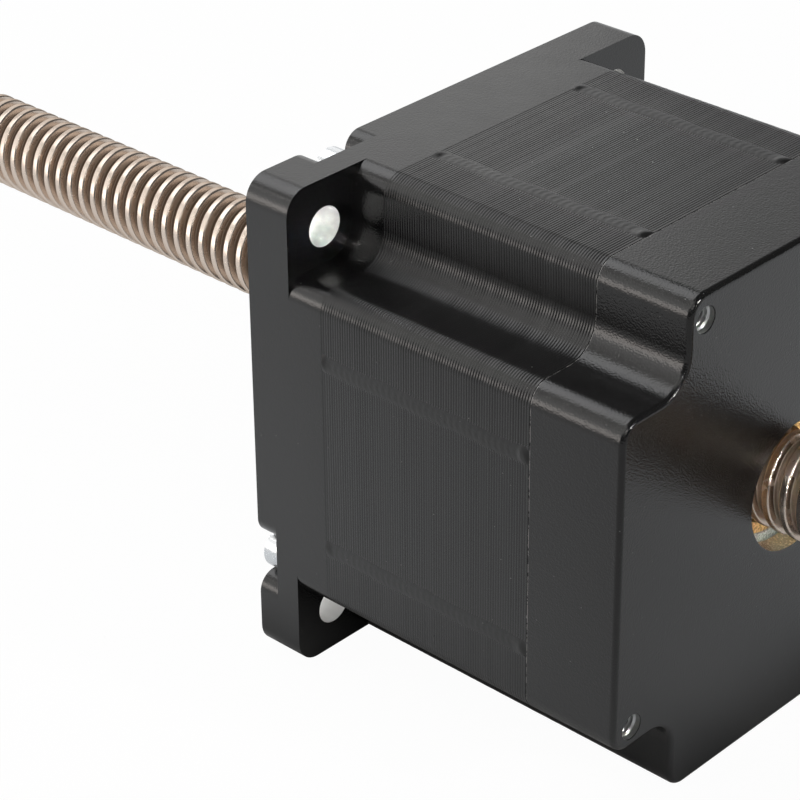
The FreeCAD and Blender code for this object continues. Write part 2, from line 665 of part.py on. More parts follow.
# Grommet: rubber bush in the rear bell's side, a rim outside and a rim inside the wall
def lead_wire_grommet():
    body = new_body("lead_wire_grommet")
    sketch = new_sketch(body, "profile", "XY_Plane")
    sketch.setExpression("AttachmentOffset.Base.x", f"{stack_rear} - sizes.lead_hole_inset")
    bore = "(sizes.grommet_bore / 2)"
    neck = "(sizes.lead_hole_dia / 2 - sizes.grommet_squeeze)"
    rim = "(sizes.lead_hole_dia / 2 + sizes.grommet_rim)"
    outside = f"(-{half_width} - sizes.grommet_rim)"
    wall_outside = f"(-{half_width})"
    wall_inside = f"(sizes.grommet_squeeze - sqrt({cavity}^2 - {rim}^2))"
    inside = f"({wall_inside} + sizes.grommet_rim)"
    add_polygon(sketch, [
        (bore, outside), (rim, outside), (rim, wall_outside), (neck, wall_outside), (neck, wall_inside),
        (rim, wall_inside), (rim, inside), (bore, inside),
    ])
    feature = body.newObject("PartDesign::Revolution", "lead_wire_grommet_turn")
    feature.Profile = sketch
    feature.ReferenceAxis = (sketch, ["V_Axis"])
    feature.Angle = 360
    settle(body, feature)
    return body


# Rotor: hollow tube on the bearings, two toothed cups half a tooth apart, ring magnet between them
def rotor_tube():
    stop = f"({nut_outer} - sizes.nut_stop)"
    shoulder = f"({rear_bearing} + sizes.bearing_width)"
    return turned_piece("rotor_tube", [
        (tube_rear, nut_outer), (tube_rear, seat_inner), (shoulder, seat_inner), (shoulder, tube_outer),
        (front_bearing, tube_outer), (front_bearing, seat_inner), (tube_front, seat_inner),
        (tube_front, stop), (nut_front, stop), (nut_front, nut_outer),
    ])


def rotor_cup(name, rear, turned):
    body = new_body(name)
    disc = new_sketch(body, "disc", offset=rear)
    add_circle(disc, "0", "0", rotor_outer)
    add_circle(disc, "0", "0", tube_outer)
    pad(body, disc, cup_length)
    gap = new_sketch(body, "tooth_gap")
    pitch = "(360 / sizes.rotor_teeth)"
    half_gap = f"({rotor_outer} * sin({pitch} * sizes.tooth_share / 2))"
    low, high = f"({rotor_outer} - sizes.tooth_depth)", f"({rotor_outer} + sizes.air_gap)"
    add_polygon(gap, turn_points(rectangle(low, f"(-{half_gap})", high, half_gap), f"({turned} * {pitch})"))
    ring_pattern(body, [pocket(body, gap)], size("rotor_teeth"))
    return body


# Drive nut: bronze bush with thread ridges inside, which stop short of its ends
def drive_nut():
    bore = f"({crest} + sizes.crest_clearance)"
    body = turned_piece("drive_nut", rectangle(nut_rear, bore, nut_front, nut_outer))
    first = f"(sizes.thread_pitch * (ceil({nut_rear} / sizes.thread_pitch) + 1))"
    low = f"({crest} - sizes.thread_pitch / 2)"
    high = f"({bore} + sizes.crest_clearance)"
    length = "sizes.nut_length - 2 * sizes.thread_pitch * sizes.thread_starts"
    run_thread(body, "PartDesign::AdditiveHelix", first, low, high, "-", length)
    return body


# Lead screw: turned ends, two-start trapezoidal thread between them
def lead_screw():
    root = f"({crest} - sizes.thread_pitch / 2 - sizes.crest_clearance)"
    journal = "(sizes.journal_dia / 2)"
    lead_in = f"({crest} - {root})"
    profile = []
    for end, inward in (("sizes.screw_reach", "-"), (screw_rear, "+")):
        edge = [(end, "0"), (end, f"({journal} - sizes.journal_chamfer)"),
                (f"({end} {inward} sizes.journal_chamfer)", journal),
                (f"({end} {inward} sizes.journal_length)", journal),
                (f"({end} {inward} sizes.journal_length)", root),
                (f"({end} {inward} sizes.journal_length {inward} {lead_in})", crest)]
        profile += edge if inward == "-" else list(reversed(edge))
    body = turned_piece("lead_screw", profile)
    first = f"(sizes.thread_pitch * (floor({screw_rear} / sizes.thread_pitch) - sizes.thread_starts))"
    length = "sizes.screw_length + 2 * sizes.thread_pitch * sizes.thread_starts"
    high = f"({crest} + sizes.crest_clearance)"
    run_thread(body, "PartDesign::SubtractiveHelix", first, root, high, "+", length)
    return body


def run_thread(body, kind, first, low, high, sign, length):
    """Adds or cuts every start of a right-hand thread whose section widens outwards.

    Grooves of the screw and ridges of the nut are centred on whole pitches, so that they mesh.
    The sign gives the flank clearance to a groove and takes it from a ridge.
    """
    pitch_line = f"({crest} - sizes.thread_pitch / 4)"

    def half(radius):
        slope = f"({radius} - {pitch_line}) * tan(sizes.flank_angle)"
        return f"(sizes.thread_pitch / 4 {sign} sizes.flank_clearance + {slope})"

    for start in range(int(value("sizes.thread_starts"))):
        middle = f"({first} + {start} * sizes.thread_pitch)"
        sketch = new_sketch(body, f"thread_{start}", "XY_Plane")
        add_polygon(sketch, [
            (f"({middle} - {half(low)})", low), (f"({middle} + {half(low)})", low),
            (f"({middle} + {half(high)})", high), (f"({middle} - {half(high)})", high),
        ])
        helix = body.newObject(kind, f"{sketch.Name}_helix")
        helix.Profile = sketch
        helix.ReferenceAxis = (plane(body, "X_Axis"), [""])
        helix.Mode = "pitch-height-angle"
        helix.setExpression("Pitch", "sizes.thread_pitch * sizes.thread_starts")
        helix.setExpression("Height", length)
        settle(body, helix)


pieces = [front_end_bell(), rear_end_bell(), stator_stack()]
pieces.append(coil_insulator("front_coil_insulator", stack_front,
                             f"({stack_front} + sizes.insulator_thickness)"))
pieces.append(coil_insulator("rear_coil_insulator", f"({stack_rear} - sizes.insulator_thickness)",
                             f"({stack_rear} - sizes.insulator_height)"))
pieces += [phase_coils("phase_a_coils", 0), phase_coils("phase_b_coils", 1)]
pieces.append(housing_screws())
pieces += bearing("front_bearing", front_bearing)
pieces += bearing("rear_bearing", rear_bearing)
pieces += [preload_spring(), lead_wire_grommet(), rotor_tube()]
pieces.append(rotor_cup("rotor_cup_front", magnet_front, "0"))
pieces.append(rotor_cup("rotor_cup_rear", stack_rear, "0.5"))
magnet_section = rectangle(magnet_rear, tube_outer, magnet_front, "(sizes.magnet_dia / 2)")
pieces.append(turned_piece("rotor_magnet", magnet_section))
pieces += [drive_nut(), lead_screw()]
doc.recompute()

# Nothing is written unless every object and every piece is sound
for item in doc.Objects:
    if "Invalid" in item.State or "Error" in item.State:
        raise RuntimeError(f"{item.Label} did not compute: {item.State}")
for piece in pieces:
    if piece.Shape.isNull() or not piece.Shape.isValid() or not piece.Shape.Solids:
        raise RuntimeError(f"{piece.Label} has no sound solid")
os.makedirs("parts", exist_ok=True)
for piece in pieces:
    piece.Shape.exportStep(f"parts/{piece.Label}.step")
    print(piece.Label, len(piece.Shape.Solids), round(piece.Shape.Volume, 2))
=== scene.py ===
import math
import random

import bmesh
import bpy
from mathutils import Matrix, Vector


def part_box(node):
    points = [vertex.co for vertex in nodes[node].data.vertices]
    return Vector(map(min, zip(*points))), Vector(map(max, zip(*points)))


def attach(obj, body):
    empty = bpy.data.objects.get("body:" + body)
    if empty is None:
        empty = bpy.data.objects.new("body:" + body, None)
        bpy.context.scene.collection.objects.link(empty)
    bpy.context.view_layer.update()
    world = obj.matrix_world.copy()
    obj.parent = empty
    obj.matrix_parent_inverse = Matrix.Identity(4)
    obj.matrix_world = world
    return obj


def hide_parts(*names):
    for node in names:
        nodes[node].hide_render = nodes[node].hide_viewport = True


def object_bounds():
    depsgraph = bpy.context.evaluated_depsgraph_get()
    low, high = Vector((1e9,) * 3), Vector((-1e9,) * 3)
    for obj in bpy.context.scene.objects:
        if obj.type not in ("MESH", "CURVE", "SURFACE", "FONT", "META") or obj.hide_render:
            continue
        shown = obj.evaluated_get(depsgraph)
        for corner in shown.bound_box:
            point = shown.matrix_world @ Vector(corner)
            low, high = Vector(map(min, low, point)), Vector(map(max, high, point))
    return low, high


mm = 0.001
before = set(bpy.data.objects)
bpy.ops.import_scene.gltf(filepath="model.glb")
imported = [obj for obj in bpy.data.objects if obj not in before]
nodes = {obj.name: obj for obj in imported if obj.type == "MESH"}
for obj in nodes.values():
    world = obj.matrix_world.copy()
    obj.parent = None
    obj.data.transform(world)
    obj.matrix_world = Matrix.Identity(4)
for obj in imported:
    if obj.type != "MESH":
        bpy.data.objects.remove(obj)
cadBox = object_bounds()
print("frame loaded:", len(nodes), "nodes")


# Camera, floor and light

cameraView = {
    "place": (-0.29336, 0.32022, 0.23689),
    "turnDeg": (59.965, 0.497, -136.970),
    "lensMm": 132.14,
    "sensorMm": 36.0,
    "clipStart": 0.01,
}

studio = {
    "floorSize": 8.0,
    "floorDrop": 0.3 * mm,               # below the lowest face of the motor
    "floorColor": (0.82, 0.82, 0.82, 1),
    "floorGlow": 0.97,                   # how much of the floor the camera sees as plain white
    "floorMirror": 0.49,                 # the same for reflections
    "floorTint": (0.94, 0.97, 1.0, 1),   # reflections of the floor are a little cool
    "floorSlope": (5.45, -5.84),         # mirrored white fades to the front of the room, per metre
    "floorMiddle": 1.22,
    "footprint": ((-0.03735, 0.03735), (0.0, 0.043)),  # middle and half size of the stand, in X and Y
    "footShade": (-0.004, 0.018),        # the motor keeps the light off the floor beneath it
    "skyForLight": 0.38,                 # the room as it lights matt surfaces
    "backdropFade": (0.05, 0.45),        # the white backdrop stands on the +X side
    "backdropWhite": 0.72,
    "ceilingFade": (0.35, 0.75),         # the room is dark overhead and in front of the backdrop
    "darkRoom": 0.12,
}

lamps = {
    "rightSoftbox": {"place": (0.4965, -0.201, 0.271), "size": (0.66, 0.50), "watts": 0.48,
                     "color": (1.0, 0.99, 0.97)},
    "leftSoftbox": {"place": (0.618, 0.55, 0.693), "size": (1.5, 1.5), "watts": 4.4},
    "topSoftbox": {"place": (0.515, -0.06, 0.83), "size": (0.70, 0.50), "watts": 1.9,
                   "color": (0.97, 0.98, 1.0)},
    "leftStrip": {"place": (0.515, 0.83, 0.10), "size": (0.60, 0.30), "watts": 1.3,
                  "color": (1.0, 0.92, 0.86)},
    "overLeft": {"place": (-0.10, 0.62, 0.78), "size": (0.90, 0.70), "watts": 1.4},
    # three narrow beams reach into the bore, the tapped holes and the mounting hole
    "boreBeam": {"place": (-0.453, 0.418, 0.260), "size": (0.02, 0.02), "watts": 0.0045, "spreadDeg": 6,
                 "aim": (-0.0747, 0.002, -0.004)},
    "tapBeam": {"place": (-0.60, -0.10, 0.25), "size": (0.05, 0.05), "watts": 0.014, "spreadDeg": 16,
                "aim": (-0.0747, 0.03, 0.008)},
    "holeBeam": {"place": (-0.40, 0.365, 0.347), "size": (0.01, 0.01), "watts": 0.0020, "spreadDeg": 1.6,
                 "aim": (-0.006, 0.0348, 0.0348)},
    "keyLamp": {"place": (0.773, 0.624, 0.732), "size": (0.10, 0.10), "watts": 0.10},
    "cameraLamp": {"place": (-0.5455, 0.39, 0.4575), "size": (0.14, 0.14), "watts": 0.40},
}
lampAim = (-0.035, 0, 0)
lampColor = (1.0, 0.98, 0.95)
wholeSpreadDeg = 180


def placeCamera():
    data = bpy.data.cameras.new("photoCamera")
    data.lens = cameraView["lensMm"]
    data.sensor_width = cameraView["sensorMm"]
    data.clip_start = cameraView["clipStart"]
    camera = bpy.data.objects.new("photoCamera", data)
    camera.location = cameraView["place"]
    camera.rotation_euler = [math.radians(a) for a in cameraView["turnDeg"]]
    bpy.context.scene.collection.objects.link(camera)
    bpy.context.scene.camera = camera


def placeLamps():
    for name, lamp in lamps.items():
        data = bpy.data.lights.new(name, "AREA")
        data.shape = "RECTANGLE"
        data.size, data.size_y = lamp["size"]
        data.energy = lamp["watts"]
        data.color = lamp.get("color", lampColor)
        data.spread = math.radians(lamp.get("spreadDeg", wholeSpreadDeg))
        light = bpy.data.objects.new(name, data)
        light.location = lamp["place"]
        light.visible_camera = False
        aim = Vector(lamp.get("aim", lampAim)) - Vector(lamp["place"])
        light.rotation_euler = aim.to_track_quat("-Z", "Y").to_euler()
        bpy.context.scene.collection.objects.link(light)


def addNode(tree, kind, inputs=None, **settings):
    node = tree.nodes.new(kind)
    for name, setting in settings.items():
        setattr(node, name, setting)
    for name, value in (inputs or {}).items():
        if isinstance(value, bpy.types.NodeSocket):
            tree.links.new(value, node.inputs[name])
        else:
            node.inputs[name].default_value = value
    return node


def math2(tree, operation, first, second=0.0):
    return addNode(tree, "ShaderNodeMath", {0: first, 1: second}, operation=operation).outputs[0]


def ease(tree, value, low, high):
    return addNode(tree, "ShaderNodeMapRange", {"Value": value, "From Min": low, "From Max": high},
                   interpolation_type="SMOOTHSTEP").outputs[0]


def spread(tree, value, low, high, fromLow=0.3, fromHigh=0.7):
    # a noise texture stays mostly between 0.3 and 0.7
    return addNode(tree, "ShaderNodeMapRange", {
        "Value": value, "From Min": fromLow, "From Max": fromHigh, "To Min": low, "To Max": high,
    }).outputs[0]


def mixValue(tree, share, first, second):
    return addNode(tree, "ShaderNodeMix", {0: share, 2: first, 3: second}).outputs[0]


def mixColor(tree, share, first, second):
    return addNode(tree, "ShaderNodeMix", {0: share, 6: first, 7: second}, data_type="RGBA").outputs[2]


def inMirror(tree, rays):
    return math2(tree, "MAXIMUM", rays["Is Glossy Ray"], rays["Is Transmission Ray"])


def makeWorld():
    world = bpy.data.worlds.new("whiteRoom")
    bpy.context.scene.world = world
    world.use_nodes = True
    tree = world.node_tree
    tree.nodes.clear()
    rays = addNode(tree, "ShaderNodeLightPath").outputs
    towards = addNode(tree, "ShaderNodeTexCoord").outputs["Generated"]
    ray = addNode(tree, "ShaderNodeSeparateXYZ", {0: towards}).outputs
    white = math2(tree, "MULTIPLY", ease(tree, ray["X"], *studio["backdropFade"]),
                  math2(tree, "SUBTRACT", 1.0, ease(tree, ray["Z"], *studio["ceilingFade"])))
    white = spread(tree, white, studio["darkRoom"], studio["backdropWhite"], 0.0, 1.0)
    strength = mixValue(tree, inMirror(tree, rays), studio["skyForLight"], white)
    strength = math2(tree, "MAXIMUM", strength, rays["Is Camera Ray"])
    sky = addNode(tree, "ShaderNodeBackground", {"Color": (1, 1, 1, 1), "Strength": strength})
    out = addNode(tree, "ShaderNodeOutputWorld")
    tree.links.new(sky.outputs[0], out.inputs[0])


def makeFloor():
    bm = bmesh.new()
    bmesh.ops.create_grid(bm, x_segments=1, y_segments=1, size=studio["floorSize"] / 2)
    drop = cadBox[0].z - studio["floorDrop"]
    bmesh.ops.translate(bm, verts=bm.verts, vec=(0, 0, drop))
    mesh = bpy.data.meshes.new("floor")
    bm.to_mesh(mesh)
    bm.free()
    floor = bpy.data.objects.new("floor", mesh)
    bpy.context.scene.collection.objects.link(floor)
    paper = bpy.data.materials.new("whitePaper")
    paper.use_nodes = True
    tree = paper.node_tree
    tree.nodes.clear()
    matt = addNode(tree, "ShaderNodeBsdfDiffuse", {"Color": studio["floorColor"]})
    rays = addNode(tree, "ShaderNodeLightPath").outputs
    place = addNode(tree, "ShaderNodeTexCoord").outputs["Object"]
    place = addNode(tree, "ShaderNodeSeparateXYZ", {0: place}).outputs
    fade = math2(tree, "ADD", math2(tree, "MULTIPLY", place["X"], studio["floorSlope"][0]),
                 math2(tree, "MULTIPLY", place["Y"], studio["floorSlope"][1]))
    fade = addNode(tree, "ShaderNodeMath", {0: fade, 1: studio["floorMiddle"]}, operation="ADD",
                   use_clamp=True)
    bright = spread(tree, fade.outputs[0], studio["darkRoom"], 1.0, 0.0, 1.0)
    away = []
    for axis, (middle, half) in zip("XY", studio["footprint"]):
        aside = math2(tree, "ABSOLUTE", math2(tree, "SUBTRACT", place[axis], middle))
        away.append(math2(tree, "SUBTRACT", aside, half))
    clear = ease(tree, math2(tree, "MAXIMUM", *away), *studio["footShade"])
    bright = math2(tree, "MULTIPLY", bright, clear)
    bright = math2(tree, "MAXIMUM", bright, rays["Is Camera Ray"])
    tint = mixColor(tree, rays["Is Camera Ray"], studio["floorTint"], (1, 1, 1, 1))
    glow = addNode(tree, "ShaderNodeEmission", {"Color": tint, "Strength": bright})
    share = math2(tree, "MAXIMUM", math2(tree, "MULTIPLY", inMirror(tree, rays), studio["floorMirror"]),
                  math2(tree, "MULTIPLY", rays["Is Camera Ray"], studio["floorGlow"]))
    mix = addNode(tree, "ShaderNodeMixShader", {0: share, 1: matt.outputs[0], 2: glow.outputs[0]})
    out = addNode(tree, "ShaderNodeOutputMaterial")
    tree.links.new(mix.outputs[0], out.inputs["Surface"])
    mesh.materials.append(paper)


bpy.context.scene.view_settings.view_transform = "Standard"
placeCamera()
placeLamps()
makeWorld()
makeFloor()
print("camera, light and floor placed")


# Effects that several finishes share

def newGroup(name, inputs, outputs):
    group = bpy.data.node_groups.new(name, "ShaderNodeTree")
    for socket, kind in inputs.items():
        group.interface.new_socket(name=socket, in_out="INPUT", socket_type=kind)
    for socket, kind in outputs.items():
        group.interface.new_socket(name=socket, in_out="OUTPUT", socket_type=kind)
    start = group.nodes.new("NodeGroupInput")
    end = group.nodes.new("NodeGroupOutput")
    return group, start.outputs, end.inputs


def scaled(tree, vector, factor):
    node = addNode(tree, "ShaderNodeVectorMath", {0: vector, "Scale": factor}, operation="SCALE")
    return node.outputs[0]


def shrunk(tree, vector, size):
    return scaled(tree, vector, math2(tree, "DIVIDE", 1.0, size))


peel = {"cloudScale": 0.06, "cloudDetail": 3.0}
patchyWearAndHighlight = {"patchScale": 0.9, "patchDetail": 4.0, "patchRough": 0.7, "sharpness": 9.0}
marks = {"jitterScale": 0.7, "jitterDetail": 2.0, "jitterPhase": 4.0}


def makePeelGroup():
    # slow waves of sprayed paint with a finer grain on top
    group, given, result = newGroup("orangePeel", {
        "Place": "NodeSocketVector", "Grain": "NodeSocketFloat",
    }, {"Height": "NodeSocketFloat", "Tone": "NodeSocketFloat"})
    fine = shrunk(group, given["Place"], given["Grain"])
    waves = addNode(group, "ShaderNodeTexNoise", {"Vector": fine, "Scale": 1.0, "Detail": 0.0})
    broad = scaled(group, fine, peel["cloudScale"])
    clouds = addNode(group, "ShaderNodeTexNoise", {
        "Vector": broad, "Scale": 1.0, "Detail": peel["cloudDetail"],
    })
    group.links.new(waves.outputs["Fac"], result["Height"])
    group.links.new(clouds.outputs["Fac"], result["Tone"])
    return group


def makeSpeckGroup():
    # sparse round grains of dust caught in the paint
    group, given, result = newGroup("paintSpecks", {
        "Place": "NodeSocketVector", "Spacing": "NodeSocketFloat", "Size": "NodeSocketFloat",
        "Share": "NodeSocketFloat",
    }, {"Mask": "NodeSocketFloat"})
    cells = shrunk(group, given["Place"], given["Spacing"])
    dots = addNode(group, "ShaderNodeTexVoronoi", {"Vector": cells, "Scale": 1.0})
    reach = math2(group, "DIVIDE", given["Size"], given["Spacing"])
    inside = math2(group, "LESS_THAN", dots.outputs["Distance"], reach)
    pick = addNode(group, "ShaderNodeSeparateColor", {0: dots.outputs["Color"]}).outputs[0]
    chosen = math2(group, "LESS_THAN", pick, given["Share"])
    group.links.new(math2(group, "MULTIPLY", inside, chosen), result["Mask"])
    return group


def makeWearAndHighlightGroup():
    # broken patches of rubbed paint, only where the mesh marks a rounded edge; strong marks on joints and
    # seams also paint light lines, a painted highlight
    group, given, result = newGroup("edgeWearAndHighlight", {
        "Place": "NodeSocketVector", "Edge": "NodeSocketFloat", "Amount": "NodeSocketFloat",
    }, {"Mask": "NodeSocketFloat"})
    patches = addNode(group, "ShaderNodeTexNoise", {
        "Vector": scaled(group, given["Place"], patchyWearAndHighlight["patchScale"]), "Scale": 1.0,
        "Detail": patchyWearAndHighlight["patchDetail"], "Roughness": patchyWearAndHighlight["patchRough"],
    }).outputs["Fac"]
    limit = math2(group, "SUBTRACT", 1.0, math2(group, "MULTIPLY", given["Amount"], given["Edge"]))
    above = math2(group, "SUBTRACT", patches, limit)
    sharp = addNode(group, "ShaderNodeMath", {0: above, 1: patchyWearAndHighlight["sharpness"]}, operation="MULTIPLY",
                    use_clamp=True)
    group.links.new(math2(group, "MULTIPLY", sharp.outputs[0], given["Edge"]), result["Mask"])
    return group


def makeToolMarkGroup():
    # fine rings that a cutting tool leaves, uneven in depth
    group, given, result = newGroup("toolMarks", {
        "Along": "NodeSocketFloat", "Pitch": "NodeSocketFloat", "Place": "NodeSocketVector",
    }, {"Height": "NodeSocketFloat"})
    jitter = addNode(group, "ShaderNodeTexNoise", {
        "Vector": scaled(group, given["Place"], marks["jitterScale"]), "Scale": 1.0,
        "Detail": marks["jitterDetail"],
    }).outputs["Fac"]
    phase = math2(group, "DIVIDE", given["Along"], given["Pitch"])
    phase = math2(group, "MULTIPLY", phase, math.tau)
    phase = math2(group, "ADD", phase, math2(group, "MULTIPLY", jitter, marks["jitterPhase"]))
    wave = math2(group, "MULTIPLY", math2(group, "SINE", phase), jitter)
    group.links.new(wave, result["Height"])
    return group


orangePeel = makePeelGroup()
paintSpecks = makeSpeckGroup()
edgeWearAndHighlight = makeWearAndHighlightGroup()
toolMarks = makeToolMarkGroup()


def useGroup(tree, group, inputs):
    return addNode(tree, "ShaderNodeGroup", inputs, node_tree=group).outputs


def newFinish(name):
    finish = bpy.data.materials.new(name)
    finish.use_nodes = True
    tree = finish.node_tree
    shader = tree.nodes["Principled BSDF"]
    place = addNode(tree, "ShaderNodeTexCoord").outputs["Object"]
    return finish, tree, shader, scaled(tree, place, 1 / mm)


def raised(tree, height, depth):
    node = addNode(tree, "ShaderNodeBump", {"Height": height, "Strength": 1.0, "Distance": depth})
    return node.outputs[0]


def axisDistance(tree, xyz):
    flat = addNode(tree, "ShaderNodeCombineXYZ", {1: xyz["Y"], 2: xyz["Z"]}).outputs[0]
    return addNode(tree, "ShaderNodeVectorMath", {0: flat}, operation="LENGTH").outputs["Value"]


def linkTo(tree, shader, **sockets):
    for name, source in sockets.items():
        tree.links.new(source, shader.inputs[name.replace("_", " ")])


# Finishes

castingPaint = {
    "dark": (0.0012, 0.0012, 0.0013, 1), "light": (0.0024, 0.0024, 0.0025, 1),
    "speck": (0.12, 0.12, 0.115, 1), "wearAndHighlight": (0.22, 0.215, 0.21, 1), "rough": (0.19, 0.25), "gloss": 1.58,
    "peelGrain": 0.28, "peelDepth": 0.034 * mm, "patchyWearAndHighlight": 0.36,
    "speckSpacing": 1.7, "speckSize": 0.085, "speckShare": 0.30, "speckHeight": 1.5,
}
paints = {
    "castingPaint": castingPaint,
    "frontPaint": dict(castingPaint, peelDepth=0.020 * mm),
    "stackPaint": dict(castingPaint, light=(0.0050, 0.0050, 0.0050, 1), rough=(0.18, 0.24),
                       peelDepth=0.002 * mm, patchyWearAndHighlight=0.40,
                       sheetPitch=0.5036, sheetStart=-57.5, sheetTone=0.5, sheetRough=0.04),
    "weldPaint": dict(castingPaint, rough=(0.26, 0.36), peelGrain=0.4, peelDepth=0.02 * mm),
}


def paintFinish(name, look):
    finish, tree, shader, place = newFinish(name)
    coat = useGroup(tree, orangePeel, {"Place": place, "Grain": look["peelGrain"]})
    specks = useGroup(tree, paintSpecks, {
        "Place": place, "Spacing": look["speckSpacing"], "Size": look["speckSize"],
        "Share": look["speckShare"],
    })["Mask"]
    edge = addNode(tree, "ShaderNodeAttribute", attribute_name="edgeMark").outputs["Fac"]
    wearAndHighlight = useGroup(tree, edgeWearAndHighlight, {"Place": place, "Edge": edge, "Amount": look["patchyWearAndHighlight"]})["Mask"]
    tone = spread(tree, coat["Tone"], 0.0, 1.0)
    rough = spread(tree, coat["Tone"], *look["rough"])
    if "sheetPitch" in look:
        along = addNode(tree, "ShaderNodeSeparateXYZ", {0: place}).outputs["X"]
        along = math2(tree, "SUBTRACT", along, look["sheetStart"])
        sheet = math2(tree, "FLOOR", math2(tree, "DIVIDE", along, look["sheetPitch"]))
        lot = addNode(tree, "ShaderNodeTexWhiteNoise", {"W": sheet}, noise_dimensions="1D")
        lot = lot.outputs["Value"]
        tone = mixValue(tree, look["sheetTone"], tone, lot)
        rough = math2(tree, "ADD", rough, math2(tree, "MULTIPLY", lot, look["sheetRough"]))
    color = mixColor(tree, tone, look["dark"], look["light"])
    color = mixColor(tree, specks, color, look["speck"])
    # rubbed paint on edges, and painted highlight lines where joints and seams carry strong marks
    color = mixColor(tree, wearAndHighlight, color, look["wearAndHighlight"])
    bumps = math2(tree, "MULTIPLY", specks, look["speckHeight"])
    height = math2(tree, "ADD", coat["Height"], bumps)
    shader.inputs["IOR"].default_value = look["gloss"]
    linkTo(tree, shader, Base_Color=color, Roughness=rough,
           Normal=raised(tree, height, look["peelDepth"]))
    return finish


bareMetal = {
    "holeWall": {"color": (0.95, 0.95, 0.94, 1), "dull": (0.84, 0.84, 0.83, 1), "rough": (0.30, 0.46),
                 "markPitch": 0.22, "markDepth": 0.004 * mm, "metallic": 0.3, "rings": 0.0},
    # the bare aluminium bore wall is coloured gold, a painted reflection of the bronze nut
    "boreWallBronzeReflection": {"color": (0.84, 0.70, 0.50, 1), "dull": (0.70, 0.56, 0.38, 1), "rough": (0.18, 0.30),
                 "markPitch": 0.18, "markDepth": 0.003 * mm, "metallic": 0.45},
    "tapWall": {"color": (0.66, 0.67, 0.67, 1), "dull": (0.42, 0.43, 0.43, 1), "rough": (0.30, 0.42),
                "markPitch": 0.3, "markDepth": 0.003 * mm, "rings": 0.0},
    "zincPlate": {"color": (0.80, 0.82, 0.84, 1), "dull": (0.62, 0.64, 0.66, 1), "rough": (0.20, 0.32),
                  "markPitch": 0.3, "markDepth": 0.002 * mm},
    "turnedSteel": {"color": (0.92, 0.92, 0.91, 1), "dull": (0.78, 0.78, 0.77, 1), "rough": (0.22, 0.34),
                    "markPitch": 0.12, "markDepth": 0.0006 * mm, "metallic": 0.3},
    "bronze": {"color": (0.95, 0.64, 0.28, 1), "dull": (0.82, 0.51, 0.21, 1), "rough": (0.22, 0.36),
               "markPitch": 0.16, "markDepth": 0.0006 * mm, "metallic": 0.35},
    "bearingSteel": {"color": (0.80, 0.80, 0.81, 1), "dull": (0.68, 0.68, 0.69, 1), "rough": (0.08, 0.16),
                     "markPitch": 0.08, "markDepth": 0.001 * mm},
    "pressedSteel": {"color": (0.62, 0.62, 0.63, 1), "dull": (0.46, 0.46, 0.47, 1), "rough": (0.24, 0.38),
                     "markPitch": 0.4, "markDepth": 0.002 * mm},
    "springSteel": {"color": (0.42, 0.43, 0.46, 1), "dull": (0.30, 0.30, 0.32, 1), "rough": (0.22, 0.34),
                    "markPitch": 0.2, "markDepth": 0.002 * mm},
    "rotorSheets": {"color": (0.40, 0.40, 0.42, 1), "dull": (0.26, 0.26, 0.28, 1), "rough": (0.30, 0.44),
                    "markPitch": 0.5, "markDepth": 0.02 * mm},
    "magnetPlate": {"color": (0.48, 0.47, 0.45, 1), "dull": (0.34, 0.33, 0.32, 1), "rough": (0.26, 0.38),
                    "markPitch": 0.6, "markDepth": 0.001 * mm},
}
stainGrain = 0.35


def metalFinish(name, look):
    finish, tree, shader, place = newFinish(name)
    xyz = addNode(tree, "ShaderNodeSeparateXYZ", {0: place}).outputs
    rings = math2(tree, "MULTIPLY", axisDistance(tree, xyz), look.get("rings", 1.0))
    along = math2(tree, "ADD", xyz["X"], rings)
    rows = useGroup(tree, toolMarks, {"Along": along, "Pitch": look["markPitch"], "Place": place})
    stain = useGroup(tree, orangePeel, {"Place": place, "Grain": stainGrain})
    color = mixColor(tree, spread(tree, stain["Tone"], 0.0, 1.0), look["color"], look["dull"])
    rough = spread(tree, stain["Height"], *look["rough"])
    shader.inputs["Metallic"].default_value = look.get("metallic", 1.0)
    linkTo(tree, shader, Base_Color=color, Roughness=rough,
           Normal=raised(tree, rows["Height"], look["markDepth"]))
    return finish


# the root and groove-side colours darken the grooves: painted shade, with some oil film
screwSteel = {
    "crest": (0.70, 0.60, 0.52, 1), "flank": (0.17, 0.122, 0.085, 1), "root": (0.235, 0.182, 0.136, 1),
    "turned": (0.66, 0.63, 0.59, 1), "rim": (0.55, 0.48, 0.42, 1),
    "turnedEdge": (5.55, 5.75), "rootEdge": (6.12, 6.35), "crestEdge": (6.5, 7.0),
    "stain": 0.30, "rough": (0.22, 0.30), "grain": 0.25, "grainDepth": 0.0006 * mm,
    "grooveRough": 0.45, "grooveMetal": 0.12, "grooveShine": 0.25,
}


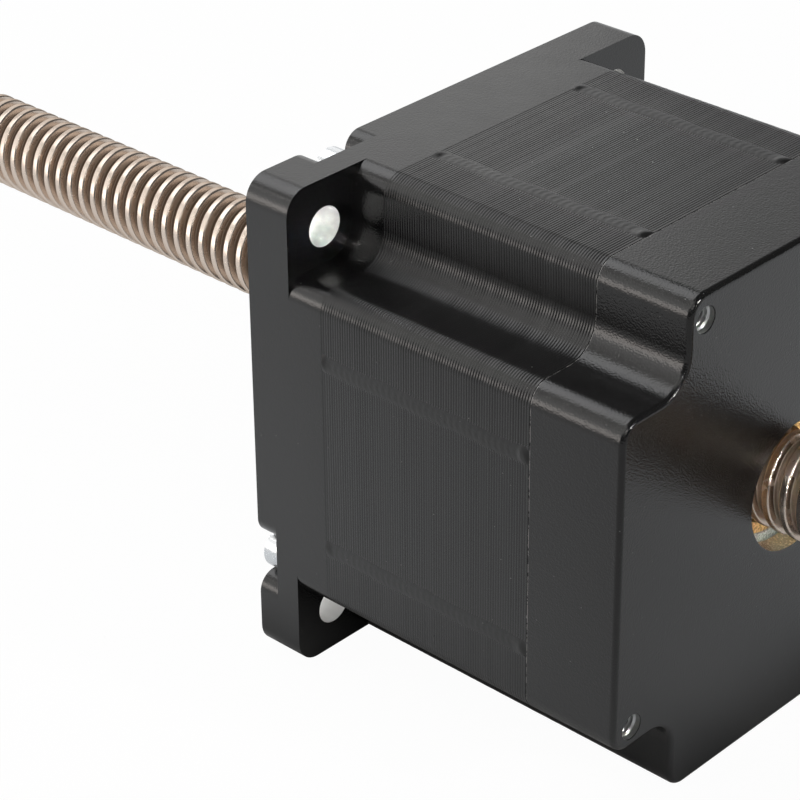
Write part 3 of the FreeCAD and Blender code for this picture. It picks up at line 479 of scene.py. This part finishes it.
def screwFinish(name, look):
    # rolled stainless: bright crests and plain ends; the grooves are coloured a darker matt brown, painted
    # shade with some oil film
    finish, tree, shader, place = newFinish(name)
    xyz = addNode(tree, "ShaderNodeSeparateXYZ", {0: place}).outputs
    radius = axisDistance(tree, xyz)
    grain = useGroup(tree, orangePeel, {"Place": place, "Grain": look["grain"]})
    stain = math2(tree, "MULTIPLY", spread(tree, grain["Tone"], 0.0, 1.0), look["stain"])
    # painted shade: the groove colour runs from a brown root to a darker brown higher up its sides
    color = mixColor(tree, ease(tree, radius, *look["rootEdge"]), look["root"], look["flank"])
    color = mixColor(tree, stain, color, look["flank"])
    pastTurned = ease(tree, radius, *look["turnedEdge"])
    onCrest = ease(tree, radius, *look["crestEdge"])
    color = mixColor(tree, pastTurned, look["turned"], color)
    color = mixColor(tree, onCrest, color, look["crest"])
    bare = math2(tree, "MAXIMUM", onCrest, math2(tree, "SUBTRACT", 1.0, pastTurned))
    rough = spread(tree, grain["Tone"], *look["rough"])
    rough = mixValue(tree, bare, look["grooveRough"], rough)
    metal = spread(tree, bare, look["grooveMetal"], 1.0, 0.0, 1.0)
    shader.inputs["Specular Tint"].default_value = look["rim"]
    shader.inputs["Specular IOR Level"].default_value = look["grooveShine"]
    linkTo(tree, shader, Base_Color=color, Roughness=rough, Metallic=metal,
           Normal=raised(tree, grain["Height"], look["grainDepth"]))
    return finish


softStuff = {
    "blackRubber": {"color": (0.020, 0.020, 0.020, 1), "light": (0.034, 0.034, 0.033, 1),
                    "rough": (0.55, 0.75), "grain": 0.30, "depth": 0.012 * mm},
    "insulatorNylon": {"color": (0.80, 0.79, 0.72, 1), "light": (0.87, 0.86, 0.80, 1),
                       "rough": (0.38, 0.52), "grain": 0.35, "depth": 0.006 * mm},
}


def mouldedFinish(name, look):
    finish, tree, shader, place = newFinish(name)
    grain = useGroup(tree, orangePeel, {"Place": place, "Grain": look["grain"]})
    color = mixColor(tree, spread(tree, grain["Tone"], 0.0, 1.0), look["color"], look["light"])
    rough = spread(tree, grain["Tone"], *look["rough"])
    linkTo(tree, shader, Base_Color=color, Roughness=rough,
           Normal=raised(tree, grain["Height"], look["depth"]))
    return finish


coilWire = {
    "color": (0.72, 0.30, 0.12, 1), "shade": (0.36, 0.12, 0.04, 1), "wire": 0.62, "depth": 0.12 * mm,
    "rough": (0.18, 0.30), "grain": 0.5, "metallic": 0.8,
}


def coilFinish(name, look):
    # rows of enamelled wire, one above the other away from the motor's axis
    finish, tree, shader, place = newFinish(name)
    xyz = addNode(tree, "ShaderNodeSeparateXYZ", {0: place}).outputs
    radius = axisDistance(tree, xyz)
    turnPhase = math2(tree, "MULTIPLY", math2(tree, "DIVIDE", radius, look["wire"]), math.pi)
    row = math2(tree, "ABSOLUTE", math2(tree, "SINE", turnPhase))
    stain = useGroup(tree, orangePeel, {"Place": place, "Grain": look["grain"]})
    color = mixColor(tree, row, look["shade"], look["color"])
    rough = spread(tree, stain["Tone"], *look["rough"])
    shader.inputs["Metallic"].default_value = look["metallic"]
    linkTo(tree, shader, Base_Color=color, Roughness=rough, Normal=raised(tree, row, look["depth"]))
    return finish


finishes = {name: metalFinish(name, look) for name, look in bareMetal.items()}
finishes.update({name: mouldedFinish(name, look) for name, look in softStuff.items()})
finishes.update({name: paintFinish(name, look) for name, look in paints.items()})
finishes["screwSteel"] = screwFinish("screwSteel", screwSteel)
finishes["coilWire"] = coilFinish("coilWire", coilWire)
print("finishes made:", len(finishes))


# Shared steps for the new pieces

meshing = {
    "mergeGap": 0.002 * mm, "touch": 0.01 * mm, "near": 0.05 * mm, "flatDeg": 0.2, "sharpDeg": 32,
    "wallTilt": 0.5, "softSteps": 2,
}


def cadCopy(node):
    bm = bmesh.new()
    bm.from_mesh(nodes[node].data)
    bmesh.ops.remove_doubles(bm, verts=bm.verts, dist=meshing["mergeGap"])
    bmesh.ops.dissolve_limit(bm, angle_limit=math.radians(meshing["flatDeg"]), verts=bm.verts,
                             edges=bm.edges)
    bm.faces.layers.float.new("edgeMark")
    return bm


def sharpEdges(bm):
    limit = math.radians(meshing["sharpDeg"])
    return [e for e in bm.edges if len(e.link_faces) == 2 and e.calc_face_angle(0.0) > limit]


def roundOver(bm, edges, radius, steps=2, wearAndHighlight=0.4):
    kept = [edge for edge in edges if edge.is_valid]
    made = bmesh.ops.bevel(bm, geom=kept, offset=radius, offset_type="OFFSET", segments=steps, profile=0.5,
                           affect="EDGES", clamp_overlap=True, material=-1)
    mark = bm.faces.layers.float["edgeMark"]
    for face in made["faces"]:
        face[mark] = wearAndHighlight


def middle(edge):
    return (edge.verts[0].co + edge.verts[1].co) / 2


def fromAxis(point, across=0.0, up=0.0):
    return math.hypot(point.y - across, point.z - up)


def fourWays(across, up):
    return [(across, up), (-up, across), (-across, -up), (up, -across)]


def inHoles(point, holes, radius):
    return any(fromAxis(point, *hole) < radius + meshing["near"] for hole in holes)


def onWall(face, tilt=meshing["wallTilt"]):
    return abs(face.normal.x) < tilt


def addPiece(bm, name, body, node, materials):
    for face in bm.faces:
        face.smooth = True
    for edge in bm.edges:
        edge.smooth = True
    for edge in sharpEdges(bm):
        edge.smooth = False
    mesh = bpy.data.meshes.new(name)
    bm.to_mesh(mesh)
    bm.free()
    for material in materials:
        mesh.materials.append(finishes[material])
    piece = bpy.data.objects.new(name, mesh)
    bpy.context.scene.collection.objects.link(piece)
    flatten = piece.modifiers.new("flatFaces", "WEIGHTED_NORMAL")
    flatten.keep_sharp = True
    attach(piece, body)
    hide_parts(node)
    print("piece made:", name, len(mesh.polygons), "faces")


# Front end bell

frontBell = {
    "earEdge": 0.45 * mm, "earSteps": 3, "joinEdge": 0.26 * mm, "joinWearAndHighlight": 0.6, "holeEdge": 0.15 * mm,
    "earBack": -8.75 * mm, "seamWearAndHighlight": 0.9, "joint": -15.7 * mm,
    "mountOffset": 34.8 * mm, "mountRadius": 3.3 * mm, "boreRadius": 11.1 * mm, "roomRadius": 39.2 * mm,
}


def makeFrontBell():
    shape = frontBell
    bm = cadCopy("front_end_bell")
    holes = fourWays(shape["mountOffset"], shape["mountOffset"])
    near = meshing["near"]
    outside, joint, rims = [], [], []
    for edge in sharpEdges(bm):
        point = middle(edge)
        if inHoles(point, holes, shape["mountRadius"]):
            rims.append(edge)
        elif abs(point.x - shape["joint"]) < near:
            if fromAxis(point) > shape["roomRadius"]:
                joint.append(edge)
        elif fromAxis(point) > shape["roomRadius"]:
            outside.append(edge)
        elif point.x > -near:
            rims.append(edge)
    roundOver(bm, outside, shape["earEdge"], shape["earSteps"])
    # the seam where the ears meet the body gets a stronger mark than their edges: rubbed paint and a
    # painted highlight line
    mark = bm.faces.layers.float["edgeMark"]
    for face in bm.faces:
        behind = shape["earBack"] - face.calc_center_median().x
        if face[mark] > 0 and near < behind < shape["earEdge"]:
            face[mark] = shape["seamWearAndHighlight"]
    # the joint with the stack: rubbed paint and a painted highlight line
    roundOver(bm, joint, shape["joinEdge"], wearAndHighlight=shape["joinWearAndHighlight"])
    roundOver(bm, rims, shape["holeEdge"])
    for face in bm.faces:
        point = face.calc_center_median()
        if onWall(face) and inHoles(point, holes, shape["mountRadius"]):
            face.material_index = 1
        elif onWall(face) and fromAxis(point) < shape["boreRadius"] + near:
            face.material_index = 2
    addPiece(bm, "front_bell_casting", "housing", "front_end_bell",
             ["frontPaint", "holeWall", "boreWallBronzeReflection"])


# Rear end bell

rearBell = {
    "joinEdge": 0.18 * mm, "joinWearAndHighlight": 1.6, "rimEdge": 0.42 * mm, "boreEdge": 0.2 * mm,
    "tapPlace": (25.1 * mm, 38.6 * mm), "tapRadius": 2.1 * mm, "tapTilt": 0.3,
    "boreRadius": 11.1 * mm, "roomRadius": 39.2 * mm, "joint": -57.5 * mm, "rear": -74.7 * mm,
    "threadPitch": 0.7 * mm, "threadCrest": 1.70 * mm, "threadRoot": 2.06 * mm, "threadFlat": (0.40, 0.60),
    "threadTurns": 8, "threadInset": 0.55 * mm, "threadSteps": 24, "threadSkin": 0.03 * mm,
}


def makeRearBell():
    shape = rearBell
    bm = cadCopy("rear_end_bell")
    holes = fourWays(*shape["tapPlace"])
    near = meshing["near"]
    joint, rims, bore = [], [], []
    for edge in sharpEdges(bm):
        point = middle(edge)
        onTap = inHoles(point, holes, shape["tapRadius"])
        if abs(point.x - shape["joint"]) < near:
            if fromAxis(point) > shape["roomRadius"] and not onTap:
                joint.append(edge)
        elif abs(point.x - shape["rear"]) < near:
            if onTap:
                rims.append(edge)
            elif fromAxis(point) < shape["boreRadius"] + near:
                bore.append(edge)
    # the joint with the stack gets a strong mark: rubbed paint and a painted highlight line
    roundOver(bm, joint, shape["joinEdge"], wearAndHighlight=shape["joinWearAndHighlight"])
    roundOver(bm, rims, shape["rimEdge"])
    roundOver(bm, bore, shape["boreEdge"])
    for face in bm.faces:
        point = face.calc_center_median()
        if onWall(face, shape["tapTilt"]) and inHoles(point, holes, shape["tapRadius"]):
            face.material_index = 1
        elif onWall(face) and fromAxis(point) < shape["boreRadius"] + near:
            face.material_index = 2
    for across, up in holes:
        cutThread(bm, across, up)
    addPiece(bm, "rear_bell_casting", "housing", "rear_end_bell",
             ["castingPaint", "tapWall", "boreWallBronzeReflection"])


def cutThread(bm, across, up):
    # the tapped hole's thread, seen from the rear face
    shape = rearBell
    pitch = shape["threadPitch"]
    start = shape["rear"] + shape["threadInset"]
    flatFrom, flatTo = shape["threadFlat"]
    root, crest = shape["threadRoot"], shape["threadCrest"]
    chain = []
    for turn in range(shape["threadTurns"]):
        for share, radius in ((0.0, root), (flatFrom, crest), (flatTo, crest)):
            along = start + (turn + share) * pitch
            chain.append(bm.verts.new((along, across + radius, up)))
    line = [bm.edges.new(pair) for pair in zip(chain, chain[1:])]
    step = pitch / shape["threadSteps"]
    before = set(bm.faces)
    bmesh.ops.spin(bm, geom=chain + line, cent=(0, across, up), axis=(1, 0, 0), dvec=(step, 0, 0),
                   angle=math.tau, steps=shape["threadSteps"])
    made = [face for face in bm.faces if face not in before]
    corners = list({vert for face in made for vert in face.verts})
    bmesh.ops.remove_doubles(bm, verts=corners, dist=meshing["mergeGap"])
    made = [face for face in bm.faces if face not in before]
    bmesh.ops.recalc_face_normals(bm, faces=made)
    inward = sum(1 if facesAxis(face, across, up) else -1 for face in made)
    if inward < 0:
        bmesh.ops.reverse_faces(bm, faces=made)
    bmesh.ops.solidify(bm, geom=made, thickness=shape["threadSkin"])
    for face in bm.faces:
        if face not in before:
            face.material_index = 1


def facesAxis(face, across, up):
    point = face.calc_center_median()
    return face.normal.y * (across - point.y) + face.normal.z * (up - point.z) > 0


# Stator stack: laminations with weld seams

stack = {
    "sheets": 83, "grooveDepth": 0.054 * mm, "shoulder": (0.20, 0.006 * mm), "unevenness": 0.012 * mm,
    "rowsPerSheet": 4, "seed": 34, "wholeLength": 0.99, "rearEdge": 0.08 * mm, "rearWearAndHighlight": 1.0,
    "wallRadius": 39.2 * mm, "boltPlace": (25.1 * mm, 38.6 * mm), "boltRadius": 2.25 * mm,
    "weldOffset": 16.8 * mm, "weldWidth": 3.5 * mm, "weldSink": 0.05 * mm, "weldCrown": 0.075 * mm,
    "scalePitch": 1.25 * mm, "scaleHeight": 0.014 * mm, "scaleBow": 1.1 * mm, "weldSteps": (190, 10),
    "wanderLength": 2.3 * mm, "wanderSide": 0.15 * mm, "weldDepth": 0.64 * mm, "burrHeight": 0.24 * mm,
    "burrLength": 0.75 * mm, "pitDepth": 0.30 * mm, "pitLength": 0.45 * mm, "pitBurr": 0.16 * mm,
    "pitBurrPlace": 1.35 * mm,
}


def makeStack():
    shape = stack
    low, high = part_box("stator_stack")
    length = high.x - low.x
    bolts = fourWays(*shape["boltPlace"])

    def onOutside(point):
        return fromAxis(point) > shape["wallRadius"] and not inHoles(point, bolts, shape["boltRadius"])

    bm = cadCopy("stator_stack")
    wall = []
    for edge in bm.edges:
        first, second = edge.verts[0].co, edge.verts[1].co
        if abs(first.x - second.x) > shape["wholeLength"] * length and onOutside(middle(edge)):
            wall.append(edge)
    rows = shape["rowsPerSheet"] * shape["sheets"]
    made = bmesh.ops.subdivide_edges(bm, edges=wall, cuts=rows - 1, use_grid_fill=True)
    inner = [item for item in made["geom_inner"] if isinstance(item, bmesh.types.BMVert)]
    bm.normal_update()
    draw = random.Random(shape["seed"])
    uneven = [draw.uniform(-1, 1) * shape["unevenness"] for _ in range(shape["sheets"])]
    step = length / rows
    sheet = length / shape["sheets"]
    shoulder, drop = shape["shoulder"]
    for vert in inner:
        row = round((vert.co.x - low.x) / step)
        outward = Vector((0, vert.normal.y, vert.normal.z)).normalized()
        number, part = divmod(row, shape["rowsPerSheet"])
        if part == 0:
            vert.co -= outward * shape["grooveDepth"]
            continue
        vert.co.x = low.x + (number + (shoulder, 0.5, 1 - shoulder)[part - 1]) * sheet
        vert.co += outward * (uneven[number] - (drop if part != 2 else 0))
    last = []
    for edge in sharpEdges(bm):
        furthest = max(abs(vert.co.x - low.x) for vert in edge.verts)
        if furthest < meshing["touch"] and onOutside(middle(edge)):
            last.append(edge)
    # the rear edge of the last sheet: rubbed paint and a painted highlight line along the joint
    roundOver(bm, last, shape["rearEdge"], wearAndHighlight=shape["rearWearAndHighlight"])
    for quarter in range(4):
        for sign in (-1, 1):
            addWeld(bm, low.x, high, sign * shape["weldOffset"], quarter, draw)
    addPiece(bm, "painted_stack", "housing", "stator_stack",
             ["stackPaint", "weldPaint"])


def addWeld(bm, rear, high, offset, quarter, draw):
    # one seam across the sheets: overlapping scales, a burr at its front and a pit at its rear end
    shape = stack
    long, wide = shape["weldSteps"]
    grid = bmesh.ops.create_grid(bm, x_segments=long, y_segments=wide, size=0.5)["verts"]
    length = high.x - rear
    phase = draw.uniform(0, math.tau)
    for vert in grid:
        along, across = vert.co.x + 0.5, vert.co.y * 2
        x = rear + along * length
        bow = shape["scaleBow"] * across ** 2
        scale = math.sin(math.tau * (x + bow) / shape["scalePitch"] + phase)
        wander = math.sin(x / shape["wanderLength"] + phase) * shape["wanderSide"]
        rise = (shape["weldCrown"] + shape["scaleHeight"] * scale) * (1 - across ** 4)
        fromFront, fromRear = high.x - x, x - rear
        dome = (1 - across ** 2) ** 2
        rise += shape["burrHeight"] * math.exp(-(fromFront / shape["burrLength"]) ** 2) * dome
        fromPit = fromRear - shape["pitBurrPlace"]
        rise += shape["pitBurr"] * math.exp(-(fromPit / shape["burrLength"]) ** 2) * dome
        rise -= shape["pitDepth"] * math.exp(-(fromRear / shape["pitLength"]) ** 2) * dome
        side = offset + across * shape["weldWidth"] / 2 + wander
        vert.co = Vector((x, side, high.z - shape["weldSink"] + rise))
    top = {face for vert in grid for face in vert.link_faces}
    lower = bmesh.ops.extrude_face_region(bm, geom=list(top))["geom"]
    base = [item for item in lower if isinstance(item, bmesh.types.BMVert)]
    for vert in base:
        vert.co.z = high.z - shape["weldDepth"]
    island = {face for vert in grid + base for face in vert.link_faces}
    for face in island:
        face.material_index = 1
    bmesh.ops.recalc_face_normals(bm, faces=list(island))
    turn = Matrix.Rotation(quarter * math.pi / 2, 3, "X")
    bmesh.ops.rotate(bm, verts=grid + base, cent=(0, 0, 0), matrix=turn)


# Lead screw

screw = {
    "pitch": 3.175 * mm, "starts": 2, "crest": 7.9375 * mm, "root": 6.096 * mm, "steps": 60,
    "rootHalf": 0.52 * mm, "crestFrom": 0.92 * mm, "edgeRound": 0.30 * mm, "roundSteps": 4,
    "journal": 5.5 * mm, "journalLength": 12.0 * mm, "journalEdge": 0.8 * mm, "frontReach": 3.4 * mm,
    "spare": 3,
}


def makeScrew():
    shape = screw
    low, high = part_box("lead_screw")
    pitch = shape["pitch"]
    # the photo shows full thread a little further forward than the solid has it
    threadLow = low.x + shape["journalLength"]
    threadHigh = high.x - shape["journalLength"] + shape["frontReach"]
    first = math.floor(threadLow / pitch) - shape["spare"] * shape["starts"]
    count = math.ceil(threadHigh / pitch) + shape["spare"] - first
    bm = bmesh.new()
    rising = [(0, shape["root"]), (shape["rootHalf"], shape["root"]), (shape["crestFrom"], shape["crest"])]
    falling = [(pitch - along, radius) for along, radius in reversed(rising)]
    chain = [bm.verts.new((first * pitch + along, radius, 0)) for along, radius in rising + falling]
    for pair in zip(chain, chain[1:]):
        bm.edges.new(pair)
    bmesh.ops.bevel(bm, geom=chain[1:-1], offset=shape["edgeRound"], offset_type="OFFSET",
                    segments=shape["roundSteps"], profile=0.5, affect="VERTICES", clamp_overlap=True,
                    material=-1)
    profile = list(bm.verts) + list(bm.edges)
    for number in range(1, count):
        copied = bmesh.ops.duplicate(bm, geom=profile)["geom"]
        copies = [item for item in copied if isinstance(item, bmesh.types.BMVert)]
        bmesh.ops.translate(bm, verts=copies, vec=(number * pitch, 0, 0))
    bmesh.ops.remove_doubles(bm, verts=bm.verts, dist=meshing["mergeGap"])
    lead = pitch * shape["starts"]
    bmesh.ops.spin(bm, geom=list(bm.verts) + list(bm.edges), cent=(0, 0, 0), axis=(1, 0, 0),
                   dvec=(lead / shape["steps"], 0, 0), angle=math.tau, steps=shape["steps"])
    bmesh.ops.remove_doubles(bm, verts=bm.verts, dist=meshing["mergeGap"])
    for end, outward in ((threadLow, -1), (threadHigh, 1)):
        everything = list(bm.verts) + list(bm.edges) + list(bm.faces)
        bmesh.ops.bisect_plane(bm, geom=everything, dist=meshing["mergeGap"], plane_co=(end, 0, 0),
                               plane_no=(outward, 0, 0), clear_outer=True)
    for vert in bm.verts:
        inside = min(vert.co.x - threadLow, threadHigh - vert.co.x)
        radius = fromAxis(vert.co)
        allowed = shape["root"] + max(inside, 0)
        if radius > allowed:
            vert.co.y *= allowed / radius
            vert.co.z *= allowed / radius
    addJournal(bm, threadLow, -1, threadLow - low.x)
    addJournal(bm, threadHigh, 1, high.x - threadHigh)
    bmesh.ops.recalc_face_normals(bm, faces=bm.faces)
    addPiece(bm, "rolled_screw", "screw", "lead_screw", ["screwSteel"])


def addJournal(bm, end, outward, length):
    # plain turned end: shoulder, cylinder, chamfer, end face
    shape = screw
    plain = length - shape["journalEdge"]
    nose = shape["journal"] - shape["journalEdge"]
    rim = [e for e in bm.edges if e.is_boundary and abs(middle(e).x - end) < meshing["touch"]]
    steps = ((0, shape["journal"]), (plain, shape["journal"]), (shape["journalEdge"], nose))
    for forward, radius in steps:
        made = bmesh.ops.extrude_edge_only(bm, edges=rim)["geom"]
        verts = [item for item in made if isinstance(item, bmesh.types.BMVert)]
        rim = [item for item in made if isinstance(item, bmesh.types.BMEdge)]
        for vert in verts:
            factor = radius / fromAxis(vert.co)
            vert.co = Vector((vert.co.x + outward * forward, vert.co.y * factor, vert.co.z * factor))
    bmesh.ops.edgeloop_fill(bm, edges=rim)


makeFrontBell()
makeRearBell()
makeStack()
makeScrew()


# Finishes of the pieces that keep their shape

def dress(node, finish, edge=0.0):
    piece = nodes[node]
    piece.material_slots[0].material = finishes[finish]
    piece.data.polygons.foreach_set("use_smooth", [True] * len(piece.data.polygons))
    weld = piece.modifiers.new("joinTriangles", "WELD")
    weld.merge_threshold = meshing["mergeGap"]
    if edge:
        bevel = piece.modifiers.new("softEdges", "BEVEL")
        bevel.width = edge
        bevel.segments = meshing["softSteps"]
        bevel.limit_method = "ANGLE"
        bevel.angle_limit = math.radians(meshing["sharpDeg"])
    split = piece.modifiers.new("crispEdges", "EDGE_SPLIT")
    split.split_angle = math.radians(meshing["sharpDeg"])
    flatten = piece.modifiers.new("flatFaces", "WEIGHTED_NORMAL")
    flatten.keep_sharp = True


dressing = {
    "front_coil_insulator": "insulatorNylon", "rear_coil_insulator": "insulatorNylon",
    "phase_a_coils": "coilWire", "phase_b_coils": "coilWire", "housing_screws": "zincPlate",
    "preload_spring": "springSteel", "lead_wire_grommet": "blackRubber", "rotor_tube": "turnedSteel",
    "rotor_cup_front": "rotorSheets", "rotor_cup_rear": "rotorSheets", "rotor_magnet": "magnetPlate",
    "drive_nut": "bronze",
}
softEdges = {"housing_screws": 0.25 * mm, "lead_wire_grommet": 0.3 * mm, "rotor_tube": 0.2 * mm}
for end in ("front", "rear"):
    for ring in ("inner_ring", "outer_ring", "balls"):
        dressing[f"{end}_bearing_{ring}"] = "bearingSteel"
    for pressing in ("cage", "shields"):
        dressing[f"{end}_bearing_{pressing}"] = "pressedSteel"
for node, finish in dressing.items():
    dress(node, finish, softEdges.get(node, 0.0))
print("nodes dressed:", len(dressing))
